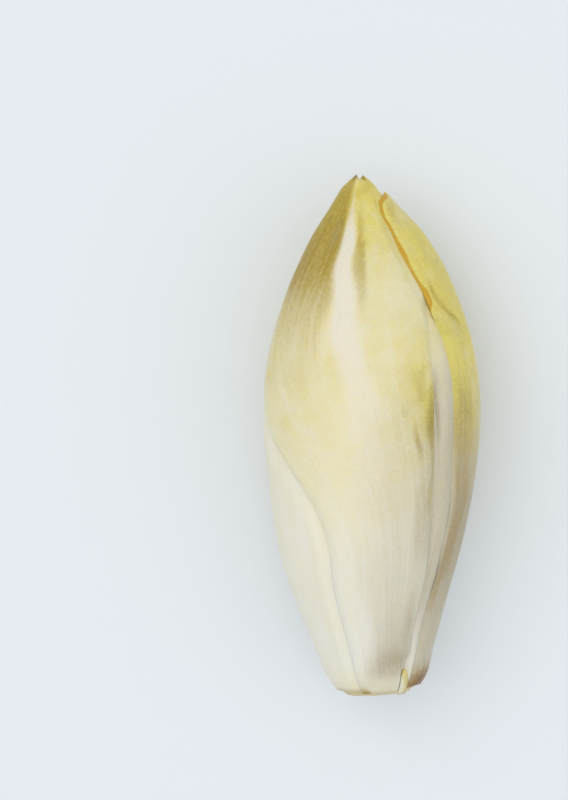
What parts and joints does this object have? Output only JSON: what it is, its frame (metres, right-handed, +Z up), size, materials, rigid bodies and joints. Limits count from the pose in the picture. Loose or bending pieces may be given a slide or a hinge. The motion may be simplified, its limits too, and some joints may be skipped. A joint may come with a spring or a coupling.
{
  "type": "belgian endive",
  "caption": "Tight spindle-shaped head of Belgian endive lying on its side, pale leaves wrapped round a cut stem.",
  "frame": {"origin": "middle of the head's underside, on the surface it rests on", "axes": "+Y along the head from the cut stem to the leaf tips, +Z up, away from the surface; the side that faces a viewer from above is the front leaf"},
  "size_m": [0.0594, 0.1427, 0.0531],
  "materials": {
    "yellow_leaf": "moist leaf, satin",
    "cream_leaf": "moist leaf, satin",
    "ivory_leaf": "moist leaf, satin",
    "leaf_stub": "moist leaf, satin",
    "inner_leaf": "moist leaf, satin",
    "stem": "cut plant flesh, matte"
  },
  "bodies": {
    "root": {"leaf_right": "yellow_leaf", "leaf_front": "cream_leaf", "leaf_back": "cream_leaf", "leaf_left": "ivory_leaf", "leaf_strip": "ivory_leaf", "leaf_stub": "leaf_stub", "leaf_inner_1": "inner_leaf", "leaf_inner_2": "inner_leaf", "leaf_inner_3": "inner_leaf", "leaf_inner_4": "inner_leaf", "leaf_inner_5": "inner_leaf", "heart_bud": "inner_leaf", "stem": "stem"}
  },
  "joints": []
}
